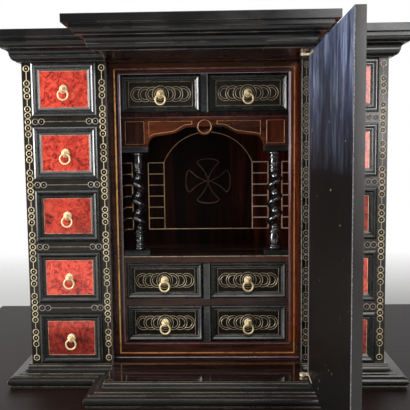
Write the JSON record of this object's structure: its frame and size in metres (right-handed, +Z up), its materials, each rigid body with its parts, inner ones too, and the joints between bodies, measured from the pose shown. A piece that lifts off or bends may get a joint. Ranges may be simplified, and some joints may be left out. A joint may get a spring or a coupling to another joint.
{
  "type": "collectors cabinet",
  "caption": "Breakfront table cabinet with banks of small drawers beside a columned niche, mask pulls with loose rings, and a centre door on pivots.",
  "frame": {"origin": "centre of the case's footprint on the surface it stands on", "axes": "+Z up, the drawer fronts face -Y, +X to the right as seen from the front"},
  "size_m": [0.664, 0.66, 0.567],
  "materials": {
    "ebonised_wood": "waxed",
    "ebony": "polished",
    "plain_wood": "matt",
    "rosewood": "waxed",
    "tortoiseshell": "polished",
    "brass": "satin",
    "gilt_brass": "polished"
  },
  "bodies": {
    "cabinet": {"carcass": "ebonised_wood", "back_panel": "plain_wood", "partitions": "ebonised_wood", "face_frame": "ebonised_wood", "portico_frame": "rosewood", "niche_lining": "rosewood", "valance": "rosewood", "columns": "ebony", "cornice": "ebonised_wood", "base": "ebonised_wood"},
    "door": {"door": "ebonised_wood", "door_pivots": "brass"},
    "drawer_top_left": {"drawer_top_left": "ebony", "pull_top_left": "gilt_brass"},
    "ring_top_left": {"ring_top_left": "gilt_brass"},
    "drawer_top_right": {"drawer_top_right": "ebony", "pull_top_right": "gilt_brass"},
    "ring_top_right": {"ring_top_right": "gilt_brass"},
    "drawer_mid_left": {"drawer_mid_left": "ebony", "pull_mid_left": "gilt_brass"},
    "ring_mid_left": {"ring_mid_left": "gilt_brass"},
    "drawer_mid_right": {"drawer_mid_right": "ebony", "pull_mid_right": "gilt_brass"},
    "ring_mid_right": {"ring_mid_right": "gilt_brass"},
    "drawer_low_left": {"drawer_low_left": "ebony", "pull_low_left": "gilt_brass"},
    "ring_low_left": {"ring_low_left": "gilt_brass"},
    "drawer_low_right": {"drawer_low_right": "ebony", "pull_low_right": "gilt_brass"},
    "ring_low_right": {"ring_low_right": "gilt_brass"},
    "drawer_left_1": {"drawer_left_1": "tortoiseshell", "pull_left_1": "gilt_brass"},
    "ring_left_1": {"ring_left_1": "gilt_brass"},
    "drawer_left_2": {"drawer_left_2": "tortoiseshell", "pull_left_2": "gilt_brass"},
    "ring_left_2": {"ring_left_2": "gilt_brass"},
    "drawer_left_3": {"drawer_left_3": "tortoiseshell", "pull_left_3": "gilt_brass"},
    "ring_left_3": {"ring_left_3": "gilt_brass"},
    "drawer_left_4": {"drawer_left_4": "tortoiseshell", "pull_left_4": "gilt_brass"},
    "ring_left_4": {"ring_left_4": "gilt_brass"},
    "drawer_left_5": {"drawer_left_5": "tortoiseshell", "pull_left_5": "gilt_brass"},
    "ring_left_5": {"ring_left_5": "gilt_brass"},
    "drawer_right_1": {"drawer_right_1": "tortoiseshell", "pull_right_1": "gilt_brass"},
    "ring_right_1": {"ring_right_1": "gilt_brass"},
    "drawer_right_2": {"drawer_right_2": "tortoiseshell", "pull_right_2": "gilt_brass"},
    "ring_right_2": {"ring_right_2": "gilt_brass"},
    "drawer_right_3": {"drawer_right_3": "tortoiseshell", "pull_right_3": "gilt_brass"},
    "ring_right_3": {"ring_right_3": "gilt_brass"},
    "drawer_right_4": {"drawer_right_4": "tortoiseshell", "pull_right_4": "gilt_brass"},
    "ring_right_4": {"ring_right_4": "gilt_brass"},
    "drawer_right_5": {"drawer_right_5": "tortoiseshell", "pull_right_5": "gilt_brass"},
    "ring_right_5": {"ring_right_5": "gilt_brass"}
  },
  "joints": [
    {"name": "door_swing", "type": "hinge", "parent": "cabinet", "child": "door", "pos_m": [0.149, -0.21, 0.032], "axis": [0, 0, -1], "range_deg": [-90, 90]},
    {"name": "slide_top_left", "type": "slide", "parent": "cabinet", "child": "drawer_top_left", "axis": [0, 1, 0], "range_m": [-0.18, 0]},
    {"name": "swing_top_left", "type": "hinge", "parent": "drawer_top_left", "child": "ring_top_left", "pos_m": [-0.07125, -0.1303, 0.4713], "axis": [1, 0, 0], "range_deg": [-110, 0]},
    {"name": "slide_top_right", "type": "slide", "parent": "cabinet", "child": "drawer_top_right", "axis": [0, 1, 0], "range_m": [-0.18, 0]},
    {"name": "swing_top_right", "type": "hinge", "parent": "drawer_top_right", "child": "ring_top_right", "pos_m": [0.07125, -0.1303, 0.4713], "axis": [1, 0, 0], "range_deg": [-110, 0]},
    {"name": "slide_mid_left", "type": "slide", "parent": "cabinet", "child": "drawer_mid_left", "axis": [0, 1, 0], "range_m": [-0.18, 0]},
    {"name": "swing_mid_left", "type": "hinge", "parent": "drawer_mid_left", "child": "ring_mid_left", "pos_m": [-0.06975, -0.1303, 0.1628], "axis": [1, 0, 0], "range_deg": [-110, 0]},
    {"name": "slide_mid_right", "type": "slide", "parent": "cabinet", "child": "drawer_mid_right", "axis": [0, 1, 0], "range_m": [-0.18, 0]},
    {"name": "swing_mid_right", "type": "hinge", "parent": "drawer_mid_right", "child": "ring_mid_right", "pos_m": [0.06975, -0.1303, 0.1628], "axis": [1, 0, 0], "range_deg": [-110, 0]},
    {"name": "slide_low_left", "type": "slide", "parent": "cabinet", "child": "drawer_low_left", "axis": [0, 1, 0], "range_m": [-0.18, 0]},
    {"name": "swing_low_left", "type": "hinge", "parent": "drawer_low_left", "child": "ring_low_left", "pos_m": [-0.06975, -0.1303, 0.0903], "axis": [1, 0, 0], "range_deg": [-110, 0]},
    {"name": "slide_low_right", "type": "slide", "parent": "cabinet", "child": "drawer_low_right", "axis": [0, 1, 0], "range_m": [-0.18, 0]},
    {"name": "swing_low_right", "type": "hinge", "parent": "drawer_low_right", "child": "ring_low_right", "pos_m": [0.06975, -0.1303, 0.0903], "axis": [1, 0, 0], "range_deg": [-110, 0]},
    {"name": "slide_left_1", "type": "slide", "parent": "cabinet", "child": "drawer_left_1", "axis": [0, -1, 0], "range_m": [0, 0.19]},
    {"name": "swing_left_1", "type": "hinge", "parent": "drawer_left_1", "child": "ring_left_1", "pos_m": [-0.223, -0.1568, 0.4786], "axis": [-1, 0, 0], "range_deg": [0, 110]},
    {"name": "slide_left_2", "type": "slide", "parent": "cabinet", "child": "drawer_left_2", "axis": [0, -1, 0], "range_m": [0, 0.19]},
    {"name": "swing_left_2", "type": "hinge", "parent": "drawer_left_2", "child": "ring_left_2", "pos_m": [-0.223, -0.1568, 0.3772], "axis": [-1, 0, 0], "range_deg": [0, 110]},
    {"name": "slide_left_3", "type": "slide", "parent": "cabinet", "child": "drawer_left_3", "axis": [0, -1, 0], "range_m": [0, 0.19]},
    {"name": "swing_left_3", "type": "hinge", "parent": "drawer_left_3", "child": "ring_left_3", "pos_m": [-0.223, -0.1568, 0.2758], "axis": [-1, 0, 0], "range_deg": [0, 110]},
    {"name": "slide_left_4", "type": "slide", "parent": "cabinet", "child": "drawer_left_4", "axis": [0, -1, 0], "range_m": [0, 0.19]},
    {"name": "swing_left_4", "type": "hinge", "parent": "drawer_left_4", "child": "ring_left_4", "pos_m": [-0.223, -0.1568, 0.1744], "axis": [-1, 0, 0], "range_deg": [0, 110]},
    {"name": "slide_left_5", "type": "slide", "parent": "cabinet", "child": "drawer_left_5", "axis": [0, -1, 0], "range_m": [0, 0.19]},
    {"name": "swing_left_5", "type": "hinge", "parent": "drawer_left_5", "child": "ring_left_5", "pos_m": [-0.223, -0.1568, 0.073], "axis": [-1, 0, 0], "range_deg": [0, 110]},
    {"name": "slide_right_1", "type": "slide", "parent": "cabinet", "child": "drawer_right_1", "axis": [0, -1, 0], "range_m": [0, 0.19]},
    {"name": "swing_right_1", "type": "hinge", "parent": "drawer_right_1", "child": "ring_right_1", "pos_m": [0.223, -0.1568, 0.4786], "axis": [-1, 0, 0], "range_deg": [0, 110]},
    {"name": "slide_right_2", "type": "slide", "parent": "cabinet", "child": "drawer_right_2", "axis": [0, -1, 0], "range_m": [0, 0.19]},
    {"name": "swing_right_2", "type": "hinge", "parent": "drawer_right_2", "child": "ring_right_2", "pos_m": [0.223, -0.1568, 0.3772], "axis": [-1, 0, 0], "range_deg": [0, 110]},
    {"name": "slide_right_3", "type": "slide", "parent": "cabinet", "child": "drawer_right_3", "axis": [0, -1, 0], "range_m": [0, 0.19]},
    {"name": "swing_right_3", "type": "hinge", "parent": "drawer_right_3", "child": "ring_right_3", "pos_m": [0.223, -0.1568, 0.2758], "axis": [-1, 0, 0], "range_deg": [0, 110]},
    {"name": "slide_right_4", "type": "slide", "parent": "cabinet", "child": "drawer_right_4", "axis": [0, -1, 0], "range_m": [0, 0.19]},
    {"name": "swing_right_4", "type": "hinge", "parent": "drawer_right_4", "child": "ring_right_4", "pos_m": [0.223, -0.1568, 0.1744], "axis": [-1, 0, 0], "range_deg": [0, 110]},
    {"name": "slide_right_5", "type": "slide", "parent": "cabinet", "child": "drawer_right_5", "axis": [0, -1, 0], "range_m": [0, 0.19]},
    {"name": "swing_right_5", "type": "hinge", "parent": "drawer_right_5", "child": "ring_right_5", "pos_m": [0.223, -0.1568, 0.073], "axis": [-1, 0, 0], "range_deg": [0, 110]}
  ]
}
